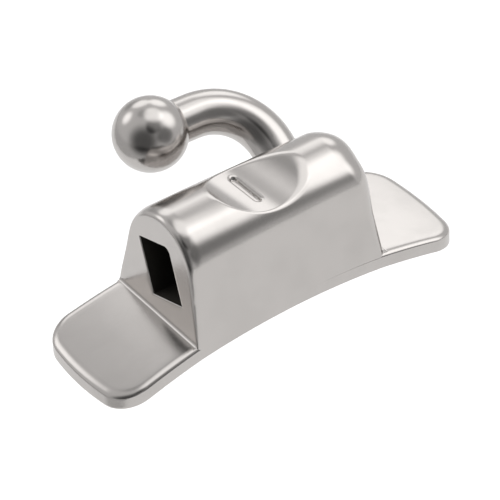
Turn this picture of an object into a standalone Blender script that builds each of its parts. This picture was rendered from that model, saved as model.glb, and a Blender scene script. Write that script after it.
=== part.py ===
"""Buccal tube: one cast piece with an arched base, a torqued slot, a thumb dish and a ball hook.

The frame is X along the slot, Y across the tube towards the hook, and Z away from the tooth.
The origin is the middle of the base, at the height where the base's two ends stand.
Sizes below are in millimetres, and Blender's units are metres.
"""

import bmesh
import bpy
import numpy as np
from mathutils import Matrix

MM = 0.001

# Base, seen from above: a strip with flared sides, rounded corners and bulged ends.
BASE_LENGTH = 5.00
BASE_WIDTH = 1.70
BASE_END_RADIUS = 4.00
BASE_CORNER_RADIUS = 0.39
BASE_THICKNESS = 0.205
RIM_BEVEL = 0.032

# Underside: an arch that fits the tooth, with its crown a little towards the hook's end.
ARCH_RADIUS = 9.02
ARCH_CENTRE_X = 0.26

# Tube body: its outline in the YZ plane at each end, measured up from the crown of the arch.
# The near end (-X) is broader towards -Y, round the torqued slot. The far end is narrower and rounder.
TUBE_LENGTH = 2.70
TUBE_FOOT_WIDTH = 1.645
FOOT_TOP = 0.20
FOOT_BLEND = 1.2
WAIST_BLEND = 1.0
NEAR_WAIST = (-0.735, 0.75)
NEAR_LOW_SHOULDER = (-0.740, 1.450)
NEAR_LOW_SHOULDER_RADIUS = 0.25
NEAR_CREST = (-0.090, 1.572)
NEAR_CREST_RADIUS = 0.80
NEAR_HIGH_SHOULDER = (0.437, 1.349)
NEAR_HIGH_SHOULDER_RADIUS = 0.59
FAR_WAIST = (-0.629, 0.75)
FAR_LOW_SHOULDER = (-0.466, 1.420)
FAR_LOW_SHOULDER_RADIUS = 0.45
FAR_CREST = (-0.030, 1.583)
FAR_CREST_RADIUS = 0.41
FAR_HIGH_SHOULDER = (0.338, 1.383)
FAR_HIGH_SHOULDER_RADIUS = 0.52

# Rounding of the tube's end edges: how far it goes in from the outline, and how far along X.
# It grows up the side from nothing at the foot, and again towards the top.
NEAR_SIDE_INSET = 0.09
NEAR_SIDE_ALONG = 0.09
NEAR_HOOK_SIDE_INSET = 0.01
NEAR_TOP_INSET = 0.13
NEAR_TOP_ALONG = 0.13
FAR_SIDE_INSET = 0.10
FAR_SIDE_ALONG = 0.11
FAR_TOP_INSET = 0.24
FAR_TOP_ALONG = 0.40
SIDE_ROUNDING_FROM_Z = 0.10
SIDE_ROUNDING_FULL_Z = 0.70
TOP_ROUNDING_FROM_Z = 0.85
TOP_ROUNDING_FULL_Z = 1.45
NEAR_ROUNDNESS = 2.0
FAR_ROUNDNESS = 1.7
ROOT_FILLET = 0.03

# Slot for the archwire, turned about X by its torque, with one relieved corner.
SLOT_WIDTH = 0.625
SLOT_DEPTH = 0.753
SLOT_TORQUE_DEG = 17.0
SLOT_Y = -0.112
SLOT_Z = 0.748
SLOT_CORNER_RELIEF = 0.085

# Thumb dish: a cylinder across the tube's top, turned a little about Z and tipped towards -Y.
DISH_RADIUS = 1.10
DISH_X = -0.097
DISH_AXIS_Z = 2.509
DISH_TURN_DEG = 11.9
DISH_TIP_DEG = 7.7
DISH_REACH = 1.3

# Ball hook: a round wire in a plane through X that leans away from the tooth.
HOOK_LEAN_DEG = 35.0
HOOK_ROOT_Y = 0.50
HOOK_ROOT_Z = 0.90
HOOK_LEG_X = 0.84
HOOK_LEG_TOP = 0.25
HOOK_LEG_HANDLE = 0.68
HOOK_BEND_END_X = 0.10
HOOK_BEND_HANDLE_X = 0.52
HOOK_REACH = 0.995
HOOK_WIRE_RADIUS = 0.275
HOOK_SUNK = 0.25
BALL_X = -0.470
BALL_REACH = 1.000
BALL_RADIUS = 0.458

# How finely curves are drawn.
ARC_STEPS = 10
ARCH_STEPS = 48
ROUNDING_STEPS = 6
TUBE_SLICES = 10
RING_SEGMENTS = 32
DISH_SEGMENTS = 160
BASE_UNDERCUT = 0.10
TUBE_UNDERCUT = 0.17


def arch(x):
    """Height of the underside over the crown of the arch at x."""
    return np.sqrt(ARCH_RADIUS**2 - (np.asarray(x, float) - ARCH_CENTRE_X) ** 2) - ARCH_RADIUS


FOOT_DROP = -float(arch(-BASE_LENGTH / 2))


def arc_points(centre, radius, start, end, steps):
    """Points on a circle in its plane, from one angle to another."""
    angles = np.linspace(start, end, steps + 1)
    return np.stack([centre[0] + radius * np.cos(angles), centre[1] + radius * np.sin(angles)], 1)


def rounded_corner(before, corner, after, radius, steps):
    """The arc that rounds one corner of a polyline, as points from its first side to its second."""
    before, corner, after = (np.asarray(p, float) for p in (before, corner, after))
    to_before = (before - corner) / np.linalg.norm(before - corner)
    to_after = (after - corner) / np.linalg.norm(after - corner)
    half = np.arccos(np.clip(to_before @ to_after, -1.0, 1.0)) / 2.0
    middle = (to_before + to_after) / np.linalg.norm(to_before + to_after)
    centre = corner + middle * radius / np.sin(half)
    start = corner + to_before * radius / np.tan(half) - centre
    end = corner + to_after * radius / np.tan(half) - centre
    first = np.arctan2(start[1], start[0])
    turn = np.arctan2(start[0] * end[1] - start[1] * end[0], start @ end)
    return arc_points(centre, radius, first, first + turn, steps)


def base_outline(inset):
    """Half of the base's outline from above, as points from (+X, +Y) round to (+X, -Y)."""
    half_length = BASE_LENGTH / 2 - inset
    half_width = BASE_WIDTH / 2 - inset
    corner = BASE_CORNER_RADIUS - inset
    end_radius = BASE_END_RADIUS - inset
    end_centre = half_length - end_radius
    reach = end_radius - corner
    corner_y = half_width - corner
    corner_x = end_centre + np.sqrt(reach**2 - corner_y**2)
    split = np.arctan2(corner_y, corner_x - end_centre)
    side_y = TUBE_FOOT_WIDTH / 2 - 0.003 - inset
    upper = arc_points((corner_x, corner_y), corner, np.pi / 2, split, ARC_STEPS)
    end = arc_points((end_centre, 0.0), end_radius, split, -split, 2 * ARC_STEPS)
    lower = upper[::-1] * (1.0, -1.0)
    neck_x = TUBE_LENGTH / 2 - 0.06
    start = np.array([[neck_x - 0.15, side_y - 0.12], [neck_x, side_y]])
    return np.vstack([start, upper, end[1:-1], lower, start[::-1] * (1.0, -1.0)])


def mix(near, far, share):
    """A value between the near end's and the far end's."""
    return np.asarray(near, float) * (1.0 - share) + np.asarray(far, float) * share


def tube_section(x):
    """The tube body's outline in the YZ plane at x, from the foot on the -Y side over the top to +Y."""
    share = x / TUBE_LENGTH + 0.5
    foot_y = TUBE_FOOT_WIDTH / 2
    foot_z = FOOT_TOP + float(arch(x))
    waist = mix(NEAR_WAIST, FAR_WAIST, share)
    low_shoulder = mix(NEAR_LOW_SHOULDER, FAR_LOW_SHOULDER, share)
    crest = mix(NEAR_CREST, FAR_CREST, share)
    high_shoulder = mix(NEAR_HIGH_SHOULDER, FAR_HIGH_SHOULDER, share)
    corners = (
        ((-foot_y, foot_z - FOOT_BLEND), 0.0),
        ((-foot_y, foot_z), FOOT_BLEND),
        (waist, WAIST_BLEND),
        (low_shoulder, mix(NEAR_LOW_SHOULDER_RADIUS, FAR_LOW_SHOULDER_RADIUS, share)),
        (crest, mix(NEAR_CREST_RADIUS, FAR_CREST_RADIUS, share)),
        (high_shoulder, mix(NEAR_HIGH_SHOULDER_RADIUS, FAR_HIGH_SHOULDER_RADIUS, share)),
        ((foot_y, foot_z), FOOT_BLEND),
        ((foot_y, foot_z - FOOT_BLEND), 0.0),
    )
    steps = (3, 3, 8, 6, 8, 3)
    straights = (4, 4, 2, 2, 8)
    parts = []
    for i in range(1, len(corners) - 1):
        corner, radius = corners[i]
        arc = rounded_corner(corners[i - 1][0], corner, corners[i + 1][0], radius, steps[i - 1])
        if parts:
            line = np.linspace(parts[-1][-1], arc[0], straights[i - 2] + 1)
            parts.append(line[1:-1])
        parts.append(arc)
    return np.vstack(parts)


def mesh_object(name, points, faces, collection):
    """An object from points in millimetres and faces."""
    mesh = bpy.data.meshes.new(name)
    mesh.from_pydata((np.asarray(points) * MM).tolist(), [], [list(map(int, f)) for f in faces])
    mesh.update()
    obj = bpy.data.objects.new(name, mesh)
    collection.objects.link(obj)
    shape = bmesh.new()
    shape.from_mesh(mesh)
    bmesh.ops.remove_doubles(shape, verts=shape.verts, dist=1e-9)
    bmesh.ops.recalc_face_normals(shape, faces=shape.faces)
    shape.to_mesh(mesh)
    shape.free()
    return obj


def ring_faces(rings, count, closed):
    """Quads between consecutive rings of count points each."""
    faces = []
    for r in range(rings - 1):
        for i in range(count if closed else count - 1):
            j = (i + 1) % count
            faces.append((r * count + i, r * count + j, (r + 1) * count + j, (r + 1) * count + i))
    return faces


def add_base(cutters):
    """The arched base: a flat bevelled strip, cut into slices along X and lowered onto the arch."""
    rings = []
    for inset, height in ((0.0, -BASE_UNDERCUT), (0.0, BASE_THICKNESS - RIM_BEVEL), (RIM_BEVEL, BASE_THICKNESS)):
        right = base_outline(inset)
        outline = np.vstack([right, -right])
        rings.append(np.column_stack([outline, np.full(len(outline), height)]))
    count = len(rings[0])
    faces = ring_faces(3, count, True)
    faces.append(tuple(range(count))[::-1])
    faces.append(tuple(range(2 * count, 3 * count)))
    base = mesh_object("base", np.vstack(rings), faces, cutters)
    shape = bmesh.new()
    shape.from_mesh(base.data)
    for x in np.linspace(-BASE_LENGTH / 2, BASE_LENGTH / 2, ARCH_STEPS + 1)[1:-1]:
        everything = shape.verts[:] + shape.edges[:] + shape.faces[:]
        bmesh.ops.bisect_plane(
            shape, geom=everything, dist=1e-9, plane_co=(x * MM, 0.0, 0.0), plane_no=(1.0, 0.0, 0.0)
        )
    for vertex in shape.verts:
        vertex.co.z += MM * (float(arch(vertex.co.x / MM)) + FOOT_DROP)
    shape.to_mesh(base.data)
    shape.free()
    return base


def end_rounding(section, side):
    """How far the end's rounding goes in, and how far along X, at the points of a section."""
    height = section[:, 1]
    to_hook = np.clip(0.5 + section[:, 0] / BASE_WIDTH, 0.0, 1.0)
    up_side = (height - SIDE_ROUNDING_FROM_Z) / (SIDE_ROUNDING_FULL_Z - SIDE_ROUNDING_FROM_Z)
    up_top = (height - TOP_ROUNDING_FROM_Z) / (TOP_ROUNDING_FULL_Z - TOP_ROUNDING_FROM_Z)
    up_side = np.clip(up_side, 0.0, 1.0)
    up_top = np.clip(up_top, 0.0, 1.0)
    up_top = up_top**2 * (3.0 - 2.0 * up_top)
    if side < 0.0:
        side_inset = NEAR_SIDE_INSET + (NEAR_HOOK_SIDE_INSET - NEAR_SIDE_INSET) * to_hook
        inset = side_inset * up_side + (NEAR_TOP_INSET - side_inset) * up_top
        along = NEAR_SIDE_ALONG * up_side + (NEAR_TOP_ALONG - NEAR_SIDE_ALONG) * up_top
    else:
        inset = FAR_SIDE_INSET * up_side + (FAR_TOP_INSET - FAR_SIDE_INSET) * up_top
        along = FAR_SIDE_ALONG * up_side + (FAR_TOP_ALONG - FAR_SIDE_ALONG) * up_top
    return inset, along


def tube_ring(x, side, turn):
    """One ring of the tube body. Near an end, turn goes from 0 on the end face to 90 degrees."""
    inset, along_x = end_rounding(tube_section(x), side)
    power = 2.0 / (NEAR_ROUNDNESS if side < 0.0 else FAR_ROUNDNESS)
    stations = x - side * along_x * (1.0 - np.cos(turn) ** power)
    outline = np.array([tube_section(at)[i] for i, at in enumerate(stations)])
    travelled = np.cumsum(np.linalg.norm(np.diff(outline, axis=0, prepend=outline[:1]), axis=1))
    along = np.gradient(outline, travelled, axis=0)
    inward = np.column_stack([along[:, 1], -along[:, 0]])
    inward /= np.linalg.norm(inward, axis=1)[:, None]
    section = outline + inward * (inset * (1.0 - np.sin(turn) ** power))[:, None]
    ring = np.column_stack([stations, section[:, 0], section[:, 1] + FOOT_DROP])
    sole = ring[[-1, 0]].copy()
    sole[:, 2] = arch(x) + FOOT_DROP - TUBE_UNDERCUT
    return np.vstack([ring, sole])


def add_tube(collection):
    """The tube body: its outline carried along X, with end edges whose rounding runs out at the foot."""
    end = TUBE_LENGTH / 2
    turns = np.linspace(0.0, 0.5 * np.pi, ROUNDING_STEPS + 1)
    rings = [tube_ring(-end, -1.0, turn) for turn in turns]
    inner = np.linspace(-end + NEAR_TOP_ALONG, end - FAR_TOP_ALONG, TUBE_SLICES + 1)[1:-1]
    rings += [tube_ring(x, 0.0, 0.5 * np.pi) for x in inner]
    rings += [tube_ring(end, 1.0, turn) for turn in turns[::-1]]
    count = len(rings[0])
    faces = ring_faces(len(rings), count, True)
    faces.append(tuple(range(count))[::-1])
    faces.append(tuple(range((len(rings) - 1) * count, len(rings) * count)))
    return mesh_object("buccal_tube", np.vstack(rings), faces, collection)


def add_root_fillet(side, cutters):
    """The small concave fillet where a tube end meets the base."""
    x = TUBE_LENGTH / 2
    floor = float(arch(side * x)) + BASE_THICKNESS + FOOT_DROP
    curve = arc_points((x + ROOT_FILLET, floor + ROOT_FILLET), ROOT_FILLET, np.pi, 1.5 * np.pi, 4)
    curve[-1, 1] -= 0.002
    profile = np.vstack([curve, [[x + ROOT_FILLET, floor - 0.03], [x - 0.03, floor - 0.03]]])
    profile = np.vstack([profile, [[x - 0.03, floor + ROOT_FILLET]]])
    half = TUBE_FOOT_WIDTH / 2 - 0.035
    rings = [np.column_stack([side * profile[:, 0], np.full(len(profile), y), profile[:, 1]]) for y in (-half, half)]
    count = len(profile)
    faces = ring_faces(2, count, True) + [tuple(range(count)), tuple(range(count, 2 * count))]
    return mesh_object(f"root_fillet_{'far' if side > 0 else 'near'}", np.vstack(rings), faces, cutters)


def hook_point(x, reach):
    """A point of the hook's plane, at x along the tube and reach along its lean."""
    lean = np.radians(HOOK_LEAN_DEG)
    y = HOOK_ROOT_Y + reach * np.cos(lean)
    z = HOOK_ROOT_Z + FOOT_DROP + reach * np.sin(lean)
    return (x * MM, y * MM, z * MM)


def add_hook_wire(cutters):
    """The hook's wire: a bevelled curve, turned into a mesh so that a Boolean can join it."""
    curve = bpy.data.curves.new("hook_wire_path", "CURVE")
    curve.dimensions = "3D"
    curve.bevel_depth = HOOK_WIRE_RADIUS * MM
    curve.bevel_resolution = RING_SEGMENTS // 4 - 1
    curve.use_fill_caps = True
    curve.resolution_u = 16
    spline = curve.splines.new("BEZIER")
    knots = (
        ((HOOK_LEG_X, -HOOK_SUNK), (HOOK_LEG_X, -HOOK_SUNK - 0.1), (HOOK_LEG_X, -HOOK_SUNK + 0.1)),
        ((HOOK_LEG_X, HOOK_LEG_TOP), (HOOK_LEG_X, 0.1), (HOOK_LEG_X, HOOK_LEG_HANDLE)),
        ((HOOK_BEND_END_X, HOOK_REACH), (HOOK_BEND_HANDLE_X, HOOK_REACH - 0.005), (-0.1, HOOK_REACH + 0.005)),
        ((BALL_X, BALL_REACH), (BALL_X + 0.15, BALL_REACH), (BALL_X - 0.1, BALL_REACH)),
    )
    spline.bezier_points.add(len(knots) - 1)
    for point, (at, left, right) in zip(spline.bezier_points, knots):
        point.handle_left_type = "FREE"
        point.handle_right_type = "FREE"
        point.co = hook_point(*at)
        point.handle_left = hook_point(*left)
        point.handle_right = hook_point(*right)
    path = bpy.data.objects.new("hook_wire_path", curve)
    cutters.objects.link(path)
    bpy.context.view_layer.update()
    graph = bpy.context.evaluated_depsgraph_get()
    mesh = bpy.data.meshes.new_from_object(path.evaluated_get(graph))
    wire = bpy.data.objects.new("hook_wire", mesh)
    wire.matrix_world = path.matrix_world.copy()
    cutters.objects.link(wire)
    shape = bmesh.new()
    shape.from_mesh(mesh)
    bmesh.ops.remove_doubles(shape, verts=shape.verts, dist=1e-7)
    bmesh.ops.recalc_face_normals(shape, faces=shape.faces)
    shape.to_mesh(mesh)
    shape.free()
    bpy.data.objects.remove(path)
    return wire


def add_ball(cutters):
    """The ball on the hook's end."""
    mesh = bpy.data.meshes.new("hook_ball")
    ball = bpy.data.objects.new("hook_ball", mesh)
    cutters.objects.link(ball)
    shape = bmesh.new()
    bmesh.ops.create_uvsphere(shape, u_segments=36, v_segments=20, radius=BALL_RADIUS * MM)
    centre = hook_point(BALL_X, BALL_REACH)
    turned = Matrix.Rotation(0.5 * np.pi, 3, "Y")
    bmesh.ops.rotate(shape, verts=shape.verts, cent=(0.0, 0.0, 0.0), matrix=turned)
    bmesh.ops.translate(shape, verts=shape.verts, vec=centre)
    shape.to_mesh(mesh)
    shape.free()
    return ball


def add_arch_cutter(cutters):
    """The block below the base, whose arched top forms the underside."""
    x = np.linspace(-BASE_LENGTH / 2 - 0.4, BASE_LENGTH / 2 + 0.4, ARCH_STEPS + 1)
    top = np.column_stack([x, arch(x) + FOOT_DROP])
    profile = np.vstack([top, [[x[-1], -1.5], [x[0], -1.5]]])
    rings = [np.column_stack([profile[:, 0], np.full(len(profile), y), profile[:, 1]]) for y in (-1.4, 1.4)]
    count = len(profile)
    faces = ring_faces(2, count, True) + [tuple(range(count)), tuple(range(count, 2 * count))]
    return mesh_object("arch_cutter", np.vstack(rings), faces, cutters)


def add_slot_cutter(cutters):
    """The slot: a rectangle turned by the torque, with one corner relieved, run through along X."""
    turn = np.radians(SLOT_TORQUE_DEG)
    across = np.array([-np.cos(turn), np.sin(turn)])
    up = np.array([np.sin(turn), np.cos(turn)])
    half_w = SLOT_WIDTH / 2
    half_d = SLOT_DEPTH / 2
    relief = rounded_corner(
        (-half_w, half_d), (half_w, half_d), (half_w, -half_d), SLOT_CORNER_RELIEF, 5
    )
    flat = np.vstack([[[-half_w, -half_d], [-half_w, half_d]], relief, [[half_w, -half_d]]])
    middle = np.array([SLOT_Y, SLOT_Z + FOOT_DROP])
    outline = middle + flat[:, :1] * across + flat[:, 1:] * up
    rings = [np.column_stack([np.full(len(outline), x), outline]) for x in (-TUBE_LENGTH, TUBE_LENGTH)]
    count = len(outline)
    faces = ring_faces(2, count, True) + [tuple(range(count)), tuple(range(count, 2 * count))]
    return mesh_object("slot_cutter", np.vstack(rings), faces, cutters)


def add_dish_cutter(cutters):
    """The thumb dish: a cylinder that lies across the tube, above its crest."""
    turn = np.radians(DISH_TURN_DEG)
    tip = np.radians(DISH_TIP_DEG)
    axis = np.array([-np.sin(turn) * np.cos(tip), np.cos(turn) * np.cos(tip), np.sin(tip)])
    sideways = np.cross(axis, (0.0, 0.0, 1.0))
    sideways /= np.linalg.norm(sideways)
    upward = np.cross(sideways, axis)
    angles = 2.0 * np.pi * np.arange(DISH_SEGMENTS)[:, None] / DISH_SEGMENTS
    circle = DISH_RADIUS * (np.cos(angles) * sideways + np.sin(angles) * upward)
    middle = np.array([DISH_X, 0.0, DISH_AXIS_Z + FOOT_DROP])
    rings = [middle + axis * along + circle for along in (-DISH_REACH, DISH_REACH)]
    count = DISH_SEGMENTS
    faces = ring_faces(2, count, True) + [tuple(range(count)), tuple(range(count, 2 * count))]
    return mesh_object("dish_cutter", np.vstack(rings), faces, cutters)


def add_boolean(target, tool, operation):
    """One exact Boolean modifier."""
    modifier = target.modifiers.new(f"{operation.lower()}_{tool.name}", "BOOLEAN")
    modifier.operation = operation
    modifier.solver = "EXACT"
    modifier.object = tool


def steel_material():
    """Polished stainless steel."""
    material = bpy.data.materials.new("stainless_steel")
    material.use_nodes = True
    surface = material.node_tree.nodes["Principled BSDF"]
    surface.inputs["Base Color"].default_value = (0.60, 0.59, 0.57, 1.0)
    surface.inputs["Metallic"].default_value = 1.0
    surface.inputs["Roughness"].default_value = 0.22
    return material


def main():
    for obj in list(bpy.data.objects):
        bpy.data.objects.remove(obj)
    scene = bpy.context.scene.collection
    parts = bpy.data.collections.new("buccal_tube")
    cutters = bpy.data.collections.new("cutters")
    scene.children.link(parts)
    scene.children.link(cutters)

    tube = add_tube(parts)
    tube.data.materials.append(steel_material())
    add_boolean(tube, add_base(cutters), "UNION")
    add_boolean(tube, add_root_fillet(-1.0, cutters), "UNION")
    add_boolean(tube, add_root_fillet(1.0, cutters), "UNION")
    add_boolean(tube, add_dish_cutter(cutters), "DIFFERENCE")
    add_boolean(tube, add_hook_wire(cutters), "UNION")
    add_boolean(tube, add_arch_cutter(cutters), "DIFFERENCE")
    add_boolean(tube, add_slot_cutter(cutters), "DIFFERENCE")
    add_boolean(tube, add_ball(cutters), "UNION")

    for helper in cutters.objects:
        helper.hide_render = True
        helper.display_type = "WIRE"


main()
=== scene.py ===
"""Looks of a buccal tube: a cast steel tube on an arched base, with a torqued slot, a thumb dish and a hook.

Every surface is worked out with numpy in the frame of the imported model: X along the slot, Y across the
tube towards the hook, and Z away from the tooth. Plain sizes are in millimetres, and properties hold metres.
"""

import bmesh
import bpy
import numpy as np
from bpy.props import FloatProperty, FloatVectorProperty, PointerProperty
from mathutils import Matrix


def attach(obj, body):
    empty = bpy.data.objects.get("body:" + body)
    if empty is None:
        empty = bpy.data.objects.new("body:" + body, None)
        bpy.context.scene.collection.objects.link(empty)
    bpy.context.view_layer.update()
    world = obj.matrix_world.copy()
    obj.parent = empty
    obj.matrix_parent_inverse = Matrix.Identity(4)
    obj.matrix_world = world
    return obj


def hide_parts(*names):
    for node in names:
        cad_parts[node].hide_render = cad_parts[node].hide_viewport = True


bl_info = {
    "name": "Buccal Tube",
    "version": (1, 0, 0),
    "blender": (4, 5, 0),
    "location": "3D View > Sidebar > Buccal Tube",
    "description": "Builds a polished buccal tube with its slot, thumb dish and ball hook",
    "category": "Add Mesh",
}

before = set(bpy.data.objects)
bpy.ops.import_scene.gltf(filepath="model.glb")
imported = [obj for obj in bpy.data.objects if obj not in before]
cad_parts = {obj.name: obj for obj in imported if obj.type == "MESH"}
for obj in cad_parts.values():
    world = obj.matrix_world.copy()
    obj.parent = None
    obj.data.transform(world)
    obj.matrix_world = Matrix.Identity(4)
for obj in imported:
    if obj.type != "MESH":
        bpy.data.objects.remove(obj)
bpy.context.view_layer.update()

NODE = "buccal_tube"

# A millimetre, and the distance under which points merge, in metres. Past the angle an edge is drawn sharp.
MM = 0.001
MERGE_DISTANCE = 2e-8
SHARP_EDGE = np.radians(38.0)

# The tube's outline in the YZ plane at each end, measured up from the crown of the arch.
NEAR_WAIST = (-0.800, 0.78)
NEAR_LOW_SHOULDER = (-0.730, 1.505)
NEAR_CREST = (-0.135, 1.585)
NEAR_HIGH_SHOULDER = (0.414, 1.403)
FAR_WAIST = (-0.672, 0.75)
FAR_LOW_SHOULDER = (-0.569, 1.242)
FAR_CREST = (-0.096, 1.583)
FAR_HIGH_SHOULDER = (0.338, 1.383)
NEAR_RADII = (0.57, 0.60, 0.74)
FAR_RADII = (0.41, 0.50, 0.38)
FOOT_TOP = 0.20
FOOT_START = 0.012
FOOT_BLEND = 1.2
WAIST_BLEND = 1.0
SECTION_SMOOTHING = 0.035

# How far each end's rounding goes in from the outline, and along X, on its side and on its top.
NEAR_SIDE_INSET = 0.075
NEAR_SIDE_ALONG = 0.16
NEAR_HOOK_SIDE_INSET = 0.03
NEAR_TOP_INSET = 0.078
NEAR_TOP_ALONG = 0.184
FAR_SIDE_INSET = 0.165
FAR_SIDE_ALONG = 0.17
FAR_HOOK_SIDE_INSET = 0.05
FAR_TOP_INSET = 0.21
FAR_TOP_ALONG = 0.34
SIDE_ROUNDING_FROM_Z = -0.30
SIDE_ROUNDING_FULL_Z = 0.65
TOP_ROUNDING_FROM_Z = 0.90
TOP_ROUNDING_FULL_Z = 1.48
NEAR_ROUNDNESS = 2.0
FAR_ROUNDNESS = 1.65

# The slot's middle in the YZ plane, and the radius of its three sharp corners.
SLOT_Y = -0.112
SLOT_Z = 0.748
SHARP_RADIUS = 0.004

# The thumb dish's axis, and where along X its rim's softness changes.
DISH_X = -0.075
DISH_AXIS_Z = 2.569
DISH_TURN = np.radians(11.9)
DISH_TIP = np.radians(7.7)
DISH_NEAR_RIM_X = -0.45
DISH_FAR_RIM_X = 0.45

# The scribed bar in the dish, from one end to the other, seen from above. Each of its two bevels has a
# start and a width, as shares of half the bar's width, and a share of its depth.
BAR_START = (-0.164, 0.072)
BAR_END = (-0.116, -0.338)
BAR_BEVELS = ((0.45, 0.50, 0.82), (0.85, 0.60, 0.18))
BAR_FADE = 0.02

# The hook's plane, and the knots and handles of its path: distance along X, and reach along the lean.
HOOK_ROOT_Y = 0.50
HOOK_ROOT_Z = 0.90
HOOK_SUNK = 0.09
HOOK_LEG_X = 0.84
HOOK_LEG_GRIP = 0.1
HOOK_LEG_TOP = 0.25
HOOK_LEG_HANDLE = 0.68
HOOK_BEND_END_X = 0.10
HOOK_BEND_HANDLE_X = 0.52
HOOK_REACH = 0.995
HOOK_RISE = 0.005
HOOK_RUN_HANDLE_X = -0.1
HOOK_SMOOTHING = 0.03
BALL_X = -0.470
BALL_REACH = 1.000
BALL_GRIP = 0.15

# The base's small rounding underneath, and where its sides meet the tube: this far inside the tube's end,
# and this far under its wall.
SOLE_ROUNDING = 0.010
NECK_BACK = 0.06
NECK_TUCK = 0.0012

# How far the foot fillets are sunk into the base and into the tube, and end short of the tube's sides.
FILLET_SINK = 0.02
FILLET_BACK = 0.03
FILLET_SHORT = 0.030

# How finely the tube is drawn: its outlines, its columns on top and elsewhere, and its rows.
STATIONS = 49
SECTION_POINTS = 1400
SECTION_ARC_STEPS = 40
TOP_SPACING = 0.0085
SIDE_SPACING = 0.030
TOP_FROM_Z = 1.10
DRESSED_FROM_Z = 1.00
COLUMN_FADE = 0.06
ROW_EDGES = (-0.70, -0.24, -0.04, 0.72)
ROW_SPACING = (0.035, 0.0105, 0.0050, 0.0105, 0.032)
END_ROWS = 15
MOUTH_ROWS = 5
FACE_ROWS = 9
WALL_ROWS = 12
CLOSING_POINTS = 32

# How finely the slot's corners are drawn, and which points of its outline are the sharp corners' middles.
SLOT_ARC_STEPS = 12
SHARP_POINTS = [1 + corner * (SLOT_ARC_STEPS + 1) + SLOT_ARC_STEPS // 2 for corner in (0, 1, 3)]

# How finely the base and the hook are drawn.
BASE_ARC_POINTS = 22
BASE_FLARE_POINTS = 12
BASE_SIDE_POINTS = 42
BASE_RIM_ROWS = 13
BASE_ACROSS = 26
PATH_POINTS = 900
WIRE_RINGS = 150
BALL_RINGS = 72
HOOK_SIDES = 112


def arch(x, size):
    """Height of the underside over the arch's crown: the top of a circle of the arch's radius."""
    radius = size.arch_radius / MM
    centre = size.arch_centre_x / MM
    return np.sqrt(radius**2 - (np.asarray(x, float) - centre) ** 2) - radius


def foot_drop(size):
    """How far the arch's crown stands over the lower end of the base."""
    return -float(arch(-0.5 * size.base_length / MM, size))


def unit(vectors):
    """The vectors over their lengths."""
    return vectors / np.linalg.norm(vectors, axis=-1, keepdims=True)


def smooth_step(values):
    """3t^2 - 2t^3 between 0 and 1."""
    t = np.clip(values, 0.0, 1.0)
    return t * t * (3.0 - 2.0 * t)


def rounded_path(corners, radii, steps):
    """A path whose inner corners are circular arcs.

    An arc is a rational quadratic curve: ((1-s)^2 start + 2 w s (1-s) corner + s^2 end) over the sum of the
    same weights, where start and end are the radius over the tangent of half the corner's angle away from it,
    and w is the sine of that half angle.
    """
    before = corners[:-2]
    corner = corners[1:-1]
    after = corners[2:]
    to_before = unit(before - corner)
    to_after = unit(after - corner)
    half = 0.5 * np.arccos(np.clip((to_before * to_after).sum(-1), -1.0, 1.0))
    reach = (np.asarray(radii) / np.tan(half))[:, None]
    start = (corner + reach * to_before)[:, None]
    end = (corner + reach * to_after)[:, None]
    weight = np.sin(half)[:, None, None]
    s = np.linspace(0.0, 1.0, steps + 1)[None, :, None]
    top = (1 - s) ** 2 * start + 2 * weight * s * (1 - s) * corner[:, None] + s**2 * end
    arcs = top / ((1 - s) ** 2 + 2 * weight * s * (1 - s) + s**2)
    return np.vstack([corners[:1], arcs.reshape(-1, corners.shape[-1]), corners[-1:]])


def travelled(path):
    """Distance along a path at each of its points."""
    steps = np.linalg.norm(np.diff(path, axis=0), axis=1)
    return np.concatenate([[0.0], np.cumsum(steps)])


def between(count):
    """This many even shares between 0 and 1, without either."""
    return np.linspace(0.0, 1.0, count + 2)[1:-1]


def along_path(path, distances):
    """Points of a path at these distances along it."""
    run = travelled(path)
    return np.stack([np.interp(distances, run, path[:, i]) for i in range(path.shape[1])], axis=1)


def even_path(path, count):
    """The same path with its points evenly spaced."""
    return along_path(path, np.linspace(0.0, travelled(path)[-1], count))


def smoothed(path, width):
    """A path averaged with a bell-shaped weight, so that its curvature has no steps. Its ends stay put."""
    spacing = travelled(path)[-1] / (len(path) - 1)
    reach = int(np.ceil(3.0 * width / spacing))
    weights = np.exp(-0.5 * (np.arange(-reach, reach + 1) * spacing / width) ** 2)
    weights /= weights.sum()
    padded = np.pad(path, ((reach, reach), (0, 0)), mode="reflect", reflect_type="odd")
    return np.stack([np.convolve(padded[:, i], weights, mode="valid") for i in range(path.shape[1])], axis=1)


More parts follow.
